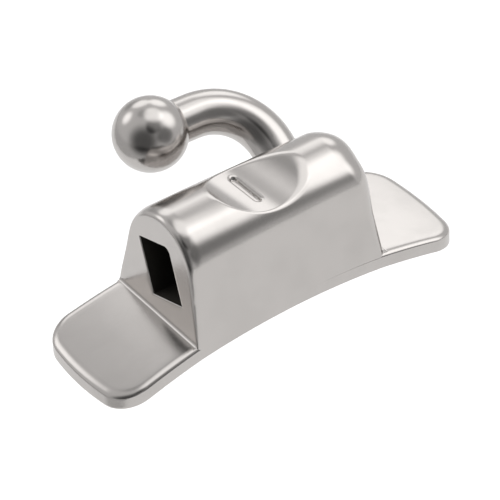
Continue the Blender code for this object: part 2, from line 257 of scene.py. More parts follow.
def mesh_from_grid(name, grids, wraps, materials):
    """A piece from grids of points in millimetres, each a closed surface of quads.

    A grid has rows and columns, and wraps says which of them close on themselves. A row or column whose
    points all meet is a pole, where merging its points turns the quads into triangles.
    """
    points = []
    faces = []
    sorts = []
    offset = 0
    for (grid, kinds), (wrap_rows, wrap_columns) in zip(grids, wraps):
        rows, columns = grid.shape[:2]
        index = np.arange(rows * columns).reshape(rows, columns) + offset
        down = np.concatenate([index, index[:1]]) if wrap_rows else index
        both = np.concatenate([down, down[:, :1]], axis=1) if wrap_columns else down
        quads = np.stack([both[:-1, :-1], both[:-1, 1:], both[1:, 1:], both[1:, :-1]], axis=-1)
        points.append(grid.reshape(-1, 3))
        faces.append(quads.reshape(-1, 4))
        kind = np.zeros(quads.shape[:2], int)
        if kinds is not None:
            kind[:] = kinds[: quads.shape[0], None]
        sorts.append(kind.reshape(-1))
        offset += rows * columns
    points = np.concatenate(points) * MM
    faces = np.concatenate(faces)
    mesh = bpy.data.meshes.new(name)
    mesh.vertices.add(len(points))
    mesh.vertices.foreach_set("co", points.astype(np.float32).ravel())
    mesh.loops.add(faces.size)
    mesh.loops.foreach_set("vertex_index", faces.astype(np.int32).ravel())
    mesh.polygons.add(len(faces))
    mesh.polygons.foreach_set("loop_start", np.arange(0, faces.size, 4, dtype=np.int32))
    mesh.polygons.foreach_set("material_index", np.concatenate(sorts).astype(np.int32))
    mesh.update(calc_edges=True)
    merge_and_face_out(mesh)
    mesh.set_sharp_from_angle(angle=SHARP_EDGE)
    for material in materials:
        mesh.materials.append(material)
    piece = bpy.data.objects.new(name, mesh)
    bpy.context.scene.collection.objects.link(piece)
    return piece


def merge_and_face_out(mesh):
    """Merges the points that meet at poles and seams, drops what collapsed, and turns the faces outwards."""
    shape = bmesh.new()
    shape.from_mesh(mesh)
    bmesh.ops.remove_doubles(shape, verts=shape.verts, dist=MERGE_DISTANCE)
    bmesh.ops.recalc_face_normals(shape, faces=shape.faces)
    shape.to_mesh(mesh)
    shape.free()
    mesh.shade_smooth()


def finish_piece(piece):
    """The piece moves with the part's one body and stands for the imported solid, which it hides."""
    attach(piece, "root")
    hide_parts(NODE)


class Socket:
    """A shader socket that adds Math nodes when it is used in an expression."""

    def __init__(self, tree, socket):
        self.tree = tree
        self.socket = socket

    def maths(self, operation, *values):
        return self.tree.node("ShaderNodeMath", {"operation": operation}, dict(enumerate(values)))

    def __add__(self, other):
        return self.maths("ADD", self, other)

    def __radd__(self, other):
        return self.maths("ADD", other, self)

    def __sub__(self, other):
        return self.maths("SUBTRACT", self, other)

    def __rsub__(self, other):
        return self.maths("SUBTRACT", other, self)

    def __mul__(self, other):
        return self.maths("MULTIPLY", self, other)

    def __rmul__(self, other):
        return self.maths("MULTIPLY", other, self)

    def soft_step(self, low, high):
        """Runs from 0 at low to 1 at high, with no kink at either."""
        settings = {"interpolation_type": "SMOOTHSTEP", "clamp": True}
        values = {"Value": self, "From Min": low, "From Max": high, "To Min": 0.0, "To Max": 1.0}
        return self.tree.node("ShaderNodeMapRange", settings, values, "Result")

    def dot(self, vector):
        """The dot product with a fixed vector."""
        settings = {"operation": "DOT_PRODUCT"}
        return self.tree.node("ShaderNodeVectorMath", settings, {0: self, 1: vector}, "Value")


class Shader:
    """A material's or a world's node tree, with one method for every kind of node."""

    def __init__(self, owner):
        owner.use_nodes = True
        self.nodes = owner.node_tree.nodes
        self.links = owner.node_tree.links

    def put(self, target, value):
        """Sets a node's input to a value, or links it."""
        if isinstance(value, Socket):
            self.links.new(value.socket, target)
        else:
            target.default_value = value

    def node(self, kind, settings, values, output=0):
        """A new node: its settings first, then its inputs. It returns one of its outputs."""
        made = self.nodes.new(kind)
        for name, value in settings.items():
            setattr(made, name, value)
        for name, value in values.items():
            self.put(made.inputs[name], value)
        return Socket(self, made.outputs[output])

    def noise(self, place, scale, detail, roughness=0.5):
        """A cloudy pattern, between 0 and 1."""
        values = {"Vector": place, "Scale": scale, "Detail": detail, "Roughness": roughness}
        return self.node("ShaderNodeTexNoise", {}, values)

    def mix_colours(self, share, first, second):
        """One colour mixed into another."""
        settings = {"data_type": "RGBA", "clamp_factor": True}
        return self.node("ShaderNodeMix", settings, {0: share, 6: first, 7: second}, 2)


class BodySizes(bpy.types.PropertyGroup):
    """Sizes of the tube, its slot and dish, and its base"""

    tube_length: FloatProperty(
        name="Tube length",
        description="Length of the tube along the slot",
        default=2.70 * MM,
        unit="LENGTH",
        precision=6,
    )
    foot_width: FloatProperty(
        name="Foot width",
        description="Width of the tube where it meets the base",
        default=1.645 * MM,
        unit="LENGTH",
        precision=6,
    )
    base_length: FloatProperty(
        name="Base length",
        description="Length of the bonding base",
        default=4.9994 * MM,
        unit="LENGTH",
        precision=6,
    )
    base_width: FloatProperty(
        name="Base width",
        description="Width of the base across its flared ends",
        default=1.70 * MM,
        unit="LENGTH",
        precision=6,
    )
    base_thickness: FloatProperty(
        name="Base thickness",
        description="Thickness of the base",
        default=0.205 * MM,
        unit="LENGTH",
        precision=6,
    )
    base_end_radius: FloatProperty(
        name="End radius",
        description="Radius of the base's bulged ends",
        default=4.00 * MM,
        unit="LENGTH",
        precision=6,
    )
    base_corner_radius: FloatProperty(
        name="Corner radius",
        description="Radius of the base's corners",
        default=0.39 * MM,
        unit="LENGTH",
        precision=6,
    )
    rim_reach: FloatProperty(
        name="Rim reach",
        description="How far in from its edge the top of the base begins to round off",
        default=0.110 * MM,
        unit="LENGTH",
        precision=6,
    )
    rim_drop: FloatProperty(
        name="Rim drop",
        description="How far down the rounding of the base's edge goes",
        default=0.055 * MM,
        unit="LENGTH",
        precision=6,
    )
    arch_radius: FloatProperty(
        name="Arch radius",
        description="Radius of the underside",
        default=9.02 * MM,
        unit="LENGTH",
        precision=6,
    )
    arch_centre_x: FloatProperty(
        name="Arch centre",
        description="Where along X the arch is highest",
        default=0.26 * MM,
        unit="LENGTH",
        precision=6,
    )
    root_fillet: FloatProperty(
        name="Root fillet",
        description="Hollow fillet where the tube's ends meet the base",
        default=0.045 * MM,
        unit="LENGTH",
        precision=6,
    )
    slot_width: FloatProperty(
        name="Slot width",
        description="Slot size across the tube",
        default=0.625 * MM,
        unit="LENGTH",
        precision=6,
    )
    slot_depth: FloatProperty(
        name="Slot depth",
        description="Slot size away from the tooth",
        default=0.753 * MM,
        unit="LENGTH",
        precision=6,
    )
    slot_torque: FloatProperty(
        name="Slot torque",
        description="Turn of the slot about X",
        default=np.radians(17.0),
        subtype="ANGLE",
    )
    slot_relief: FloatProperty(
        name="Corner relief",
        description="Radius of the slot's one rounded corner",
        default=0.085 * MM,
        unit="LENGTH",
        precision=6,
    )
    mouth_bevel: FloatProperty(
        name="Mouth bevel",
        description="Rounding of the slot's mouth",
        default=0.011 * MM,
        unit="LENGTH",
        precision=6,
    )
    dish_radius: FloatProperty(
        name="Dish radius",
        description="Radius of the thumb dish",
        default=1.16 * MM,
        unit="LENGTH",
        precision=6,
    )
    dish_near_blend: FloatProperty(
        name="Near rim blend",
        description="Softness of the dish's rim towards -X",
        default=0.012 * MM,
        unit="LENGTH",
        precision=6,
    )
    dish_far_blend: FloatProperty(
        name="Far rim blend",
        description="Softness of the dish's rim towards +X",
        default=0.045 * MM,
        unit="LENGTH",
        precision=6,
    )
    bar_width: FloatProperty(
        name="Bar width",
        description="Width of the scribed bar",
        default=0.110 * MM,
        unit="LENGTH",
        precision=6,
    )
    bar_depth: FloatProperty(
        name="Bar depth",
        description="Depth of the scribed bar",
        default=0.045 * MM,
        unit="LENGTH",
        precision=6,
    )


class HookSizes(bpy.types.PropertyGroup):
    """Sizes of the ball hook"""

    wire_radius: FloatProperty(
        name="Wire radius",
        description="Radius of the hook's wire",
        default=0.275 * MM,
        unit="LENGTH",
        precision=6,
    )
    ball_radius: FloatProperty(
        name="Ball radius",
        description="Radius of the ball on the hook's end",
        default=0.458 * MM,
        unit="LENGTH",
        precision=6,
    )
    lean: FloatProperty(
        name="Lean",
        description="Angle of the hook's plane over the base",
        default=np.radians(35.0),
        subtype="ANGLE",
    )


class SteelFinish(bpy.types.PropertyGroup):
    """Colours and polish of the steel"""

    colour: FloatVectorProperty(
        name="Steel",
        description="Colour of the polished steel",
        default=(0.550, 0.525, 0.507),
        size=3,
        subtype="COLOR",
    )
    worn_colour: FloatVectorProperty(
        name="Worn steel",
        description="Colour of the steel where the polish is thinner",
        default=(0.510, 0.487, 0.470),
        size=3,
        subtype="COLOR",
    )
    # The slot walls' near-black colour is painted shade of the recess, not the steel's own colour; only their
    # roughness is real.
    bore_shade_colour: FloatVectorProperty(
        name="Bore",
        description="Colour of the unpolished slot walls",
        default=(0.050, 0.046, 0.040),
        size=3,
        subtype="COLOR",
    )
    roughness: FloatProperty(
        name="Roughness", description="Roughness of the polished steel", default=0.20, min=0.0, max=1.0
    )
    grain: FloatProperty(
        name="Grain", description="Strength of the casting's fine grain", default=0.08, min=0.0, max=1.0
    )


class StageLook(bpy.types.PropertyGroup):
    """The floor under the part"""

    floor_colour: FloatVectorProperty(
        name="Floor",
        description="Colour of the floor",
        default=(0.93, 0.93, 0.93),
        size=3,
        subtype="COLOR",
    )
    floor_glow: FloatProperty(
        name="Floor glow",
        description="Light that comes through the floor from below",
        default=0.16,
        min=0.0,
    )
    floor_size: FloatProperty(
        name="Floor size", description="Side of the square floor", default=0.14, unit="LENGTH"
    )
    floor_start: FloatProperty(
        name="Floor start",
        description="How far the floor runs on past the near end of the part",
        default=14.0 * MM,
        unit="LENGTH",
        precision=6,
    )
    floor_drop: FloatProperty(
        name="Floor drop",
        description="How far the floor lies under the part",
        default=12.0 * MM,
        unit="LENGTH",
        precision=6,
    )


def body_corners(x, size):
    """The corners of the tube's outline at x: each is mixed between the near end's and the far end's."""
    share = x / (size.tube_length / MM) + 0.5
    foot_y = 0.5 * size.foot_width / MM
    foot_z = FOOT_TOP + float(arch(x, size))
    near = np.array([NEAR_WAIST, NEAR_LOW_SHOULDER, NEAR_CREST, NEAR_HIGH_SHOULDER])
    far = np.array([FAR_WAIST, FAR_LOW_SHOULDER, FAR_CREST, FAR_HIGH_SHOULDER])
    upper = near * (1.0 - share) + far * share
    radii = np.array(NEAR_RADII) * (1.0 - share) + np.array(FAR_RADII) * share
    low = [[-foot_y, foot_z - FOOT_TOP + FOOT_START], [-foot_y, foot_z]]
    high = [[foot_y, foot_z], [foot_y, foot_z - FOOT_TOP + FOOT_START]]
    return np.vstack([low, upper, high]), np.concatenate([[FOOT_BLEND, WAIST_BLEND], radii, [FOOT_BLEND]])


def body_outlines(size):
    """Stations along X, and the tube's outline at each as evenly spaced points from -Y over the top to +Y."""
    half = 0.5 * size.tube_length / MM
    stations = np.linspace(-half, half, STATIONS)
    outlines = []
    for x in stations:
        corners, radii = body_corners(x, size)
        path = even_path(rounded_path(corners, radii, SECTION_ARC_STEPS), SECTION_POINTS)
        outlines.append(smoothed(path, SECTION_SMOOTHING))
    return stations, np.array(outlines)


def slot_outline(size, grow):
    """The slot's outline in the YZ plane, with one relieved corner, grown by a margin."""
    turn = size.slot_torque
    across = np.array([-np.cos(turn), np.sin(turn)])
    up = np.array([np.sin(turn), np.cos(turn)])
    half_w = 0.5 * size.slot_width / MM + grow
    half_d = 0.5 * size.slot_depth / MM + grow
    relief = size.slot_relief / MM + grow
    sharp = SHARP_RADIUS + grow
    corners = [[-half_w, -half_d], [-half_w, half_d], [half_w, half_d], [half_w, -half_d]]
    flat = np.array([[0.0, -half_d], *corners, [0.0, -half_d]])
    path = rounded_path(flat, (sharp, sharp, relief, sharp), SLOT_ARC_STEPS)
    return np.array([SLOT_Y, SLOT_Z]) + path[:, :1] * across + path[:, 1:] * up


def angles_about_slot(points):
    """Angles of points of the YZ plane seen from the slot's middle, growing with no jump."""
    angles = np.arctan2(points[..., 1] - SLOT_Z, points[..., 0] - SLOT_Y)
    return np.unwrap(angles)


def slot_at_angles(angles, size, grow):
    """The slot's outline where rays at these angles leave it."""
    outline = slot_outline(size, grow)
    seen = angles_about_slot(outline)
    if seen[-1] < seen[0]:
        outline = outline[::-1]
        seen = seen[::-1]
    turns = seen[0] + np.mod(angles - seen[0], 2.0 * np.pi)
    return np.stack([np.interp(turns, seen, outline[:, i]) for i in (0, 1)], axis=-1)


def end_rounding(section, side, size):
    """How far an end's rounding goes in, and how far along X, at the points of a section."""
    height = section[:, 1]
    to_hook = np.clip(0.5 + section[:, 0] / (size.base_width / MM), 0.0, 1.0)
    up_side = (height - SIDE_ROUNDING_FROM_Z) / (SIDE_ROUNDING_FULL_Z - SIDE_ROUNDING_FROM_Z)
    up_side = np.clip(up_side, 0.0, 1.0)
    up_top = smooth_step((height - TOP_ROUNDING_FROM_Z) / (TOP_ROUNDING_FULL_Z - TOP_ROUNDING_FROM_Z))
    if side < 0.0:
        side_inset = NEAR_SIDE_INSET + (NEAR_HOOK_SIDE_INSET - NEAR_SIDE_INSET) * to_hook
        inset = side_inset * up_side + (NEAR_TOP_INSET - side_inset) * up_top
        along = NEAR_SIDE_ALONG * up_side + (NEAR_TOP_ALONG - NEAR_SIDE_ALONG) * up_top
    else:
        side_inset = FAR_SIDE_INSET + (FAR_HOOK_SIDE_INSET - FAR_SIDE_INSET) * to_hook
        inset = side_inset * up_side + (FAR_TOP_INSET - side_inset) * up_top
        along = FAR_SIDE_ALONG * up_side + (FAR_TOP_ALONG - FAR_SIDE_ALONG) * up_top
    return inset, along


def pick_columns(outline, size):
    """Where round the outline the columns stand: close together on top, and one at each slot corner.

    They are indices into the evenly spaced outline. Beyond its end they run on along the closing line
    from the +Y foot back to the -Y foot.
    """
    spacing = travelled(outline)[-1] / (len(outline) - 1)
    wanted = np.where(outline[:, 1] > TOP_FROM_Z, TOP_SPACING, SIDE_SPACING)
    density = np.concatenate([[0.0], np.cumsum(spacing / wanted[:-1])])
    count = int(density[-1])
    picked = np.interp(np.linspace(0.0, density[-1], count), density, np.arange(len(outline)))
    seen = angles_about_slot(outline)
    corner_angles = angles_about_slot(slot_outline(size, 0.0))[SHARP_POINTS]
    order = np.argsort(seen)
    turns = seen[order][0] + np.mod(corner_angles - seen[order][0], 2.0 * np.pi)
    inside = turns <= seen[order][-1]
    extra = np.interp(turns[inside], seen[order], order.astype(float))
    return np.sort(np.concatenate([picked, extra]))


def section_at(stations, outlines, x, columns):
    """The outline's points at stations x, one for each column: straight mixing between known outlines."""
    place = np.clip((x - stations[0]) / (stations[1] - stations[0]), 0.0, len(stations) - 1.000001)
    low = place.astype(int)
    share = (place - low)[..., None]
    left = np.floor(columns).astype(int).clip(0, outlines.shape[1] - 2)
    part = (columns - left)[..., None]
    near = outlines[low, left] * (1.0 - part) + outlines[low, left + 1] * part
    far = outlines[low + 1, left] * (1.0 - part) + outlines[low + 1, left + 1] * part
    return near * (1.0 - share) + far * share


def inward_of(section):
    """Unit vectors that point into the section, at right angles to it."""
    along = np.gradient(section, travelled(section), axis=0)
    return unit(np.column_stack([along[:, 1], -along[:, 0]]))


def dish_height(x, y, size):
    """Height of the thumb dish's surface: the lower side of a leaning cylinder.

    A point stands at x, y and z. Its distance from the cylinder's axis is the radius, which gives a
    quadratic in z, whose lower root is the height. Outside the cylinder the height is out of reach.
    """
    level = np.cos(DISH_TIP)
    axis = np.array([-np.sin(DISH_TURN) * level, np.cos(DISH_TURN) * level, np.sin(DISH_TIP)])
    radius = size.dish_radius / MM
    dx = x - DISH_X
    flat = dx * axis[0] + y * axis[1]
    a = 1.0 - axis[2] ** 2
    b = -2.0 * flat * axis[2]
    c = dx**2 + y**2 - flat**2 - radius**2
    inside = b**2 - 4.0 * a * c
    root = (-b - np.sqrt(np.maximum(inside, 0.0))) / (2.0 * a)
    return np.where(inside > 0.0, DISH_AXIS_Z + root, DISH_AXIS_Z + 10.0)


def soft_minimum(a, b, blend):
    """The lower of two heights, with their crease rounded off over a blend."""
    share = np.clip(0.5 + 0.5 * (b - a) / blend, 0.0, 1.0)
    return b * (1.0 - share) + a * share - blend * share * (1.0 - share)


def bar_depth(x, y, size):
    """Depth of the scribed bar: a flat floor with bevelled walls, inside a wider and shallower bevel.

    It depends on the distance from the bar's middle line, a straight piece with rounded ends.
    """
    start = np.array(BAR_START)
    run = np.array(BAR_END) - start
    dx = x - start[0]
    dy = y - start[1]
    share = np.clip((dx * run[0] + dy * run[1]) / (run @ run), 0.0, 1.0)
    away = np.hypot(dx - share * run[0], dy - share * run[1])
    half = 0.5 * size.bar_width / MM
    depth = size.bar_depth / MM
    return sum(
        depth * part * (1.0 - smooth_step((away - first * half) / (wide * half)))
        for first, wide, part in BAR_BEVELS
    )


def row_shares(size):
    """Where the rows of the tube's skin stand along it, as shares from 0 to 1: closest over the bar."""
    half = 0.5 * size.tube_length / MM
    edges = [-half, *ROW_EDGES, half]
    runs = [
        np.linspace(a, b, int(np.ceil((b - a) / gap)) + 1)[:-1]
        for a, b, gap in zip(edges, edges[1:], ROW_SPACING)
    ]
    return (np.concatenate(runs + [[half]]) + half) / (2.0 * half)


def face_edge(stations, outlines, side, columns, size):
    """An end face's outer edge in the YZ plane: the outline there, moved in by the end's rounding."""
    x = side * 0.5 * size.tube_length / MM
    section = section_at(stations, outlines, np.full(len(columns), x), columns)
    inset, along = end_rounding(section, side, size)
    return section + inward_of(section) * inset[:, None]


def far_columns(stations, outlines, columns, size):
    """Where the columns stand round the far outline, so that each is seen at the same angle from the slot.

    The far face's edge is tried at every point of the outline, and the columns' angles are looked up in it.
    """
    points = np.arange(outlines.shape[1] - 1.0)
    tried = angles_about_slot(face_edge(stations, outlines, 1.0, points, size))
    wanted = angles_about_slot(face_edge(stations, outlines, -1.0, columns, size))
    tried = np.minimum.accumulate(tried)
    wanted = wanted + 2.0 * np.pi * np.round((tried.mean() - wanted.mean()) / (2.0 * np.pi))
    found = np.interp(-wanted, -tried, points)
    ends = smooth_step(np.minimum(columns, columns[-1] - columns) / (COLUMN_FADE * len(points)))
    return columns * (1.0 - ends) + found * ends


def rounded_end(section_of, columns, side, size):
    """The rows of one end's rounded edge, from its face outwards, and how far along X it reaches.

    A row stands at x = end - along (1 - cos^p turn), moved in by inset (1 - sin^p turn).
    """
    end = side * 0.5 * size.tube_length / MM
    power = 2.0 / (NEAR_ROUNDNESS if side < 0.0 else FAR_ROUNDNESS)
    inset, along = end_rounding(section_of(np.full(columns, end)), side, size)
    rows = []
    for turn in np.linspace(0.0, 0.5 * np.pi, END_ROWS):
        x = end - side * along * (1.0 - np.cos(turn) ** power)
        section = section_of(x)
        section = section + inward_of(section) * (inset * (1.0 - np.sin(turn) ** power))[:, None]
        rows.append(np.column_stack([x, section]))
    return rows, along


def tube_skin(size):
    """The tube's skin: rows from the near face's edge to the far face's edge, closed under the base."""
    half = 0.5 * size.tube_length / MM
    stations, outlines = body_outlines(size)
    near_columns = pick_columns(outlines[0], size)
    shift = far_columns(stations, outlines, near_columns, size) - near_columns

    def section_of(x):
        return section_at(stations, outlines, x, near_columns + shift * (x / (2.0 * half) + 0.5))

    near_rows, near_along = rounded_end(section_of, len(shift), -1.0, size)
    far_rows, far_along = rounded_end(section_of, len(shift), 1.0, size)
    middle = []
    for share in row_shares(size)[1:-1]:
        x = (-half + near_along) * (1.0 - share) + (half - far_along) * share
        middle.append(np.column_stack([x, section_of(x)]))
    skin = np.array(near_rows + middle + far_rows[::-1])
    return np.concatenate([skin, closing_line(skin, size)], axis=1)


def mouth_rows(angles, side, size):
    """One mouth of the slot: rows round a quarter circle, from the slot's wall out to the end face."""
    half = 0.5 * size.tube_length / MM
    bevel = size.mouth_bevel / MM
    rows = []
    for turn in np.linspace(0.0, 0.5 * np.pi, MOUTH_ROWS):
        grown = slot_at_angles(angles, size, bevel * (1.0 - np.cos(turn)))
        x = side * (half - bevel * (1.0 - np.sin(turn)))
        rows.append(np.column_stack([np.full(len(grown), x), grown]))
    return np.array(rows)


def tube_grid(size):
    """The tube as one closed grid, like a ring: columns stand round the slot, and rows run over the skin.

    For each column a row of points goes from the slot's wall over the near mouth and the near end face,
    along the skin, back in over the far end face and the far mouth, and along the slot's wall.
    """
    skin = tube_skin(size)
    angles = angles_about_slot(skin[0, :, 1:])
    skin = dress_top(skin, size)
    near_mouth = mouth_rows(angles, -1.0, size)
    far_mouth = mouth_rows(angles, 1.0, size)
    shares = between(FACE_ROWS)[:, None, None]
    near_face = near_mouth[-1] * (1.0 - shares) + skin[0] * shares
    far_face = far_mouth[-1] * (1.0 - shares) + skin[-1] * shares
    shares = between(WALL_ROWS)[:, None, None]
    wall = far_mouth[0] * (1.0 - shares) + near_mouth[0] * shares
    grid = np.concatenate([near_mouth, near_face, skin, far_face[::-1], far_mouth[::-1], wall])
    kinds = np.zeros(len(grid), int)
    kinds[-len(wall) - 1 :] = 1
    grid[:, :, 2] += foot_drop(size)
    return grid, kinds


def closing_line(skin, size):
    """The line under the tube, from the +Y foot back to the -Y foot, hidden inside the base.

    One of its points lies in line with the slot's middle and the slot's lowest corner: where the line and
    that ray cross, by the ratio of two cross products.
    """
    start = skin[:, -1][:, None]
    end = skin[:, 0][:, None]
    run = skin[0, 0, 1:] - skin[0, -1, 1:]
    to_slot = np.array([SLOT_Y, SLOT_Z]) - skin[0, -1, 1:]
    ray = slot_outline(size, 0.0)[SHARP_POINTS[0]] - np.array([SLOT_Y, SLOT_Z])
    crossing = (to_slot[0] * ray[1] - to_slot[1] * ray[0]) / (run[0] * ray[1] - run[1] * ray[0])
    shares = np.sort(np.append(between(CLOSING_POINTS), crossing))[:, None]
    return start * (1.0 - shares) + end * shares


def dress_top(skin, size):
    """The skin with its thumb dish, whose rim is softer towards the far end, and with the scribed bar."""
    x, y, z = skin[..., 0], skin[..., 1], skin[..., 2]
    share = smooth_step((x - DISH_NEAR_RIM_X) / (DISH_FAR_RIM_X - DISH_NEAR_RIM_X))
    blend = size.dish_near_blend + (size.dish_far_blend - size.dish_near_blend) * share
    dish = dish_height(x, y, size)
    lowered = soft_minimum(z, dish, blend / MM)
    on_floor = smooth_step((z - dish) / BAR_FADE)
    lowered = lowered - bar_depth(x, y, size) * on_floor
    skin = skin.copy()
    skin[..., 2] = np.where(z > DRESSED_FROM_Z, lowered, z)
    return skin


def base_half_outline(size, inset):
    """Half of the base's outline, from the -X apex over the +Y side to the +X apex, moved in by inset."""
    half_length = 0.5 * size.base_length / MM - inset
    half_width = 0.5 * size.base_width / MM - inset
    corner = size.base_corner_radius / MM - inset
    end_radius = size.base_end_radius / MM - inset
    end_centre = half_length - end_radius
    reach = end_radius - corner
    corner_y = half_width - corner
    corner_x = end_centre + np.sqrt(reach**2 - corner_y**2)
    split = np.arctan2(corner_y, corner_x - end_centre)
    end_turn = np.linspace(0.0, split, BASE_ARC_POINTS)[:, None]
    end = (end_centre, 0.0) + end_radius * np.hstack([np.cos(end_turn), np.sin(end_turn)])
    corner_turn = np.linspace(split, 0.5 * np.pi, BASE_ARC_POINTS)[1:, None]
    round_corner = (corner_x, corner_y) + corner * np.hstack([np.cos(corner_turn), np.sin(corner_turn)])
    neck_x = 0.5 * size.tube_length / MM - NECK_BACK
    neck = np.array([neck_x, 0.5 * size.foot_width / MM - NECK_TUCK - inset])
    shares = np.linspace(0.0, 1.0, BASE_FLARE_POINTS)[1:, None]
    flare = round_corner[-1] * (1.0 - shares) + neck * shares
    far = np.vstack([end, round_corner, flare])
    middle = np.linspace(neck[0], -neck[0], BASE_SIDE_POINTS)[1:-1]
    side = np.column_stack([middle, np.full(len(middle), neck[1])])
    return np.vstack([far, side, far[::-1] * (-1.0, 1.0)])[::-1]


def base_grid(size):
    """The base as one closed grid: each row is a ring across the strip, and the rows run from end to end.

    A ring goes along the underside, up the +Y side, round its rim, over the top, and down the -Y side.
    Everything is then lowered onto the arch.
    """
    drop = foot_drop(size)
    thickness = size.base_thickness / MM
    reach = size.rim_reach / MM
    fall = size.rim_drop / MM
    sole = SOLE_ROUNDING
    turns = np.linspace(0.0, 0.5 * np.pi, BASE_RIM_ROWS)
    levels = [(sole * (1.0 - np.sin(t)), sole * (1.0 - np.cos(t))) for t in turns[::3]]
    levels += [(0.0, z) for z in np.linspace(sole, thickness - fall, 7)[1:-1]]
    levels += [(reach * (1.0 - np.cos(t)), thickness - fall * (1.0 - np.sin(t))) for t in turns]
    side = []
    for inset, z in levels:
        outline = base_half_outline(size, inset)
        side.append(np.column_stack([outline, np.full(len(outline), z)]))
    side = np.stack(side, axis=1)
    mirrored = side[:, ::-1] * (1.0, -1.0, 1.0)
    shares = np.linspace(0.0, 1.0, BASE_ACROSS)[1:-1, None]
    top = side[:, -1][:, None] * (1.0 - shares) + mirrored[:, 0][:, None] * shares
    under = mirrored[:, -1][:, None] * (1.0 - shares) + side[:, 0][:, None] * shares
    grid = np.concatenate([side, top, mirrored, under], axis=1)
    grid[..., 2] += arch(grid[..., 0], size) + drop
    return grid


def fillet_grid(size, side):
    """The hollow fillet where a tube end meets the base: a quarter circle carried across it."""
    half = 0.5 * size.tube_length / MM
    radius = size.root_fillet / MM
    floor = float(arch(side * (half + radius), size)) + size.base_thickness / MM + foot_drop(size)
    turns = np.linspace(np.pi, 1.5 * np.pi, 11)
    middle = (half + radius, floor + radius)
    curve = middle + radius * np.column_stack([np.cos(turns), np.sin(turns)])
    low = floor - FILLET_SINK
    inner = half - FILLET_BACK
    back = np.array([[half + radius, low], [inner, low], [inner, floor + radius]])
    profile = np.vstack([curve, back])
    reach = 0.5 * size.foot_width / MM - FILLET_SHORT
    shares = np.concatenate([[0.0], np.linspace(0.0, 1.0, 21), [1.0]])
    grid = np.empty((len(shares), len(profile), 3))
    grid[..., 0] = side * profile[:, 0]
    grid[..., 1] = (reach * (2.0 * shares - 1.0))[:, None]
    grid[..., 2] = profile[:, 1]
    grid[[0, -1]] = grid[[1, -2]].mean(axis=1, keepdims=True)
    return grid


def bezier(knots, share):
    """A cubic Bezier curve: the four knots weighted by (1-t)^3, 3t(1-t)^2, 3t^2(1-t) and t^3."""
    t = share[:, None]
    a, b, c, d = np.asarray(knots, float)
    return (1 - t) ** 3 * a + 3 * t * (1 - t) ** 2 * b + 3 * t**2 * (1 - t) * c + t**3 * d


def hook_path():
    """The hook's middle line in its own plane: a straight leg, a bend, and a run towards the ball."""
    leg = [
        [HOOK_LEG_X, -HOOK_SUNK],
        [HOOK_LEG_X, -HOOK_SUNK + HOOK_LEG_GRIP],
        [HOOK_LEG_X, HOOK_LEG_GRIP],
        [HOOK_LEG_X, HOOK_LEG_TOP],
    ]
    bend = [
        [HOOK_LEG_X, HOOK_LEG_TOP],
        [HOOK_LEG_X, HOOK_LEG_HANDLE],
        [HOOK_BEND_HANDLE_X, HOOK_REACH - HOOK_RISE],
        [HOOK_BEND_END_X, HOOK_REACH],
    ]
    run = [
        [HOOK_BEND_END_X, HOOK_REACH],
        [HOOK_RUN_HANDLE_X, HOOK_REACH + HOOK_RISE],
        [BALL_X + BALL_GRIP, BALL_REACH],
        [BALL_X, BALL_REACH],
    ]
    share = np.linspace(0.0, 1.0, 120)
    return np.vstack([bezier(leg, share)[:-1], bezier(bend, share)[:-1], bezier(run, share)])


def hook_grid(hook, size):
    """The hook as a circle carried along its path, whose radius is the wire's and then the ball's.

    Past the seam the radius is R sin(turn) at a place R cos(turn) from the ball's middle, so that part is
    a sphere. Both ends close to a point.
    """
    wire = hook.wire_radius / MM
    ball = hook.ball_radius / MM
    path = hook_path()
    seam = np.sqrt(ball**2 - wire**2)
    length = travelled(path)[-1]
    places = even_path(smoothed(even_path(path, PATH_POINTS), HOOK_SMOOTHING), PATH_POINTS)
    heading = unit(np.gradient(places, axis=0))
    run = travelled(places)
    wanted = np.concatenate([[0.0], np.linspace(0.0, length - seam, WIRE_RINGS)])
    middle = np.stack([np.interp(wanted, run, places[:, i]) for i in (0, 1)], axis=1)
    ahead = unit(np.stack([np.interp(wanted, run, heading[:, i]) for i in (0, 1)], axis=1))
    radii = np.full(len(wanted), wire)
    radii[0] = 0.0
    turns = np.linspace(np.arcsin(wire / ball), np.pi, BALL_RINGS)
    ball_middle = np.array([BALL_X, BALL_REACH]) + np.outer(-ball * np.cos(turns), ahead[-1])
    middle = np.vstack([middle, ball_middle])
    ahead = np.vstack([ahead, np.repeat(ahead[-1:], len(turns), axis=0)])
    radii = np.concatenate([radii, ball * np.sin(turns)])
    radii[-1] = 0.0
    lean = hook.lean
    reach = np.array([0.0, np.cos(lean), np.sin(lean)])
    normal = np.array([0.0, -np.sin(lean), np.cos(lean)])
    along = np.array([1.0, 0.0, 0.0])
    root = np.array([0.0, HOOK_ROOT_Y, HOOK_ROOT_Z + foot_drop(size)])
    centres = root + middle[:, :1] * along + middle[:, 1:] * reach
    sideways = -ahead[:, 1:] * along + ahead[:, :1] * reach
    around = 2.0 * np.pi * np.arange(HOOK_SIDES) / HOOK_SIDES
    ring = np.cos(around)[None, :, None] * sideways[:, None] + np.sin(around)[None, :, None] * normal
    return centres[:, None] + radii[:, None, None] * ring


# How deep the steel's grain and the bore's unevenness are, in metres, and the colour of the bore's specks.
GRAIN_DEPTH = 0.004 * MM
BORE_DEPTH = 0.006 * MM
BORE_SPECKS = (0.06, 0.058, 0.055, 1.0)


